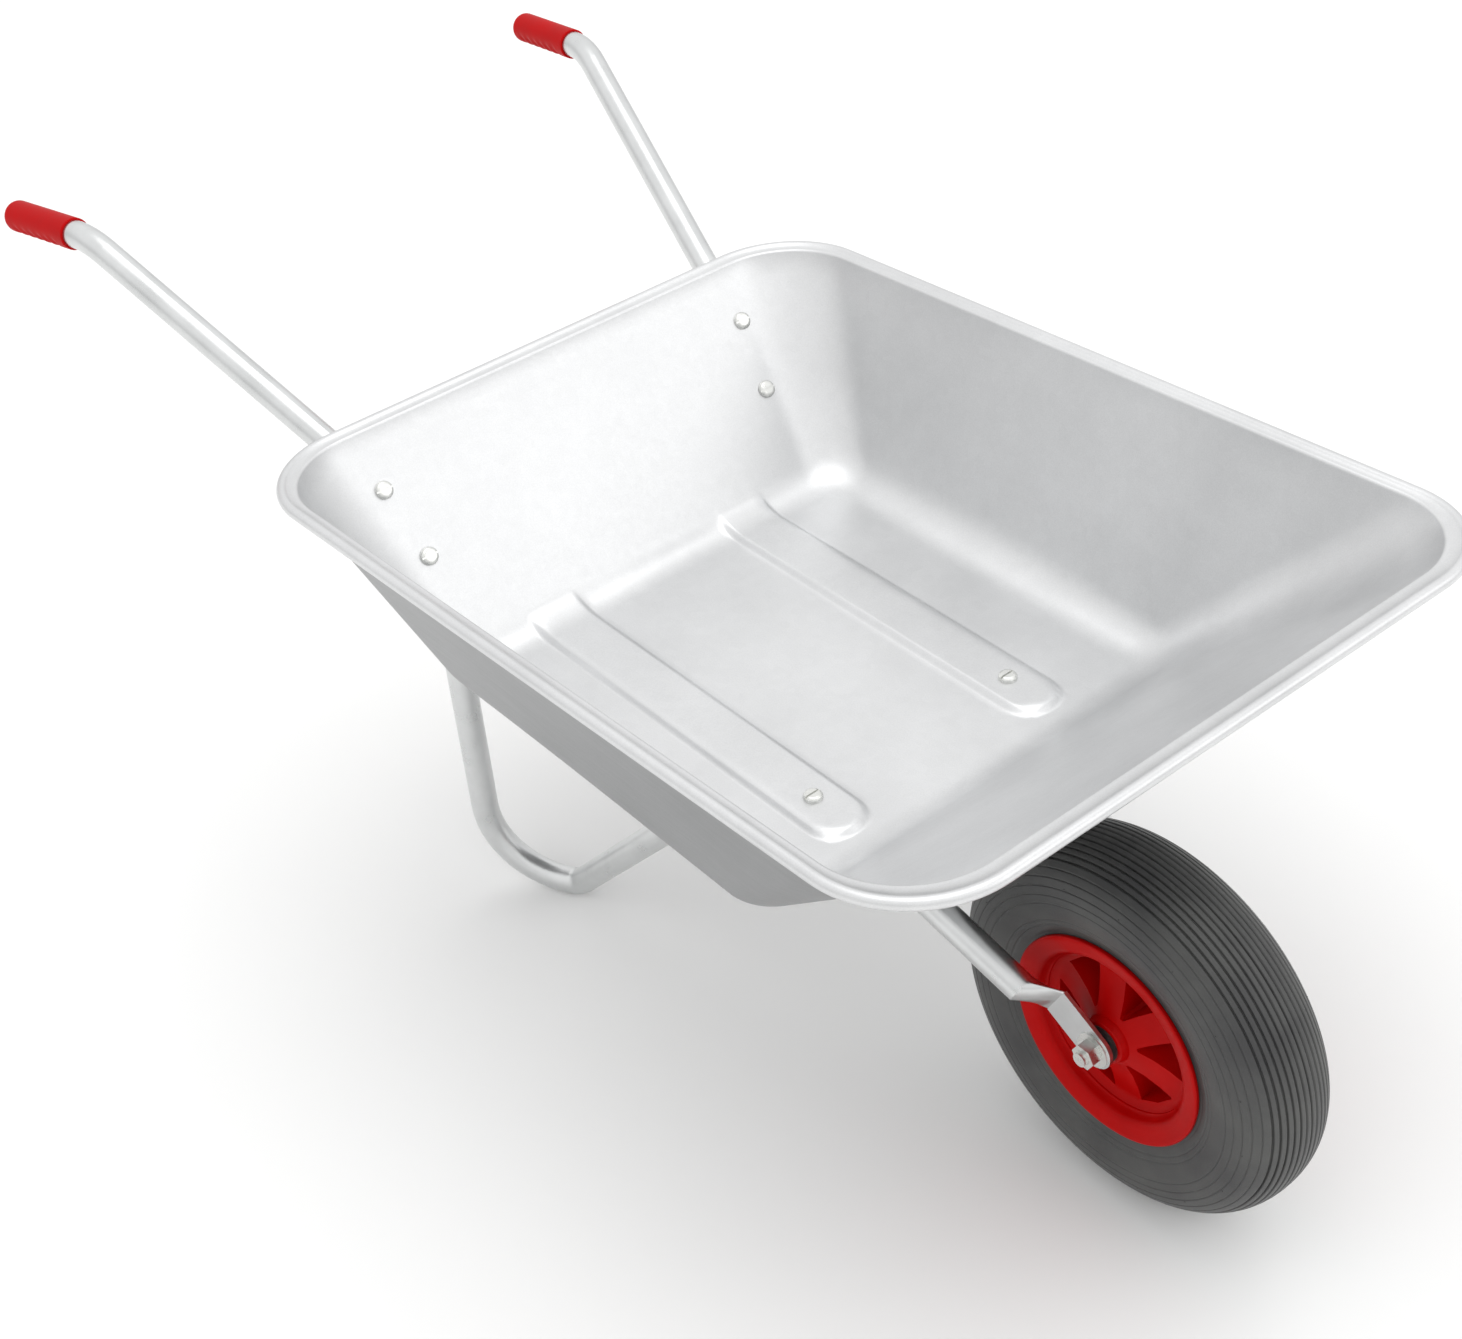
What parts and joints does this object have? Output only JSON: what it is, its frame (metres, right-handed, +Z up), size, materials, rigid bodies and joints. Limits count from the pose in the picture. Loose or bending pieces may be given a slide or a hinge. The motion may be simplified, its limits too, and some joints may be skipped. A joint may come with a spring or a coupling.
{
  "type": "wheelbarrow",
  "caption": "Garden wheelbarrow: pressed galvanised tray on a bent tube frame with red grips, legs and one pneumatic front wheel that turns on its axle.",
  "frame": {"origin": "on the ground, at the middle of the overall length, on the centre plane", "axes": "+X forward to the wheel, +Y to the user's left, +Z up"},
  "size_m": [1.305, 0.61, 0.59],
  "materials": {
    "galvanised_sheet": "bright zinc, satin with fine brushed streaks",
    "galvanised_tube": "zinc-coated drawn tube with a fine length-wise grain",
    "zinc_plated": "bright zinc plating",
    "red_grip": "soft moulded plastic, satin",
    "red_rim": "moulded plastic, satin",
    "tyre_rubber": "black ribbed rubber",
    "tube_rubber": "thin butyl rubber",
    "nylon": "plain black nylon",
    "valve_rubber": "moulded rubber",
    "brass": "plain brass",
    "black_plastic": "moulded plastic"
  },
  "bodies": {
    "frame": {"tray": "galvanised_sheet", "frame_tube_left": "galvanised_tube", "frame_tube_right": "galvanised_tube", "grip_left": "red_grip", "grip_right": "red_grip", "rear_wall_bolts": "zinc_plated", "rear_wall_washers": "zinc_plated", "rear_wall_nuts": "zinc_plated", "floor_bolts": "zinc_plated", "floor_washers": "zinc_plated", "floor_nuts": "zinc_plated", "axle_bolt": "zinc_plated", "axle_nut": "zinc_plated", "axle_washer_left": "zinc_plated", "axle_washer_right": "zinc_plated", "spacer_left": "zinc_plated", "spacer_right": "zinc_plated"},
    "wheel": {"tyre": "tyre_rubber", "inner_tube": "tube_rubber", "wheel_rim": "red_rim", "bush_left": "nylon", "bush_right": "nylon", "valve_stem": "valve_rubber", "valve_core": "brass", "valve_cap": "black_plastic"}
  },
  "joints": [
    {"name": "wheel_spin", "type": "hinge", "parent": "frame", "child": "wheel", "pos_m": [0.4875, 0, 0.165], "axis": [0, 1, 0], "continuous": true}
  ]
}
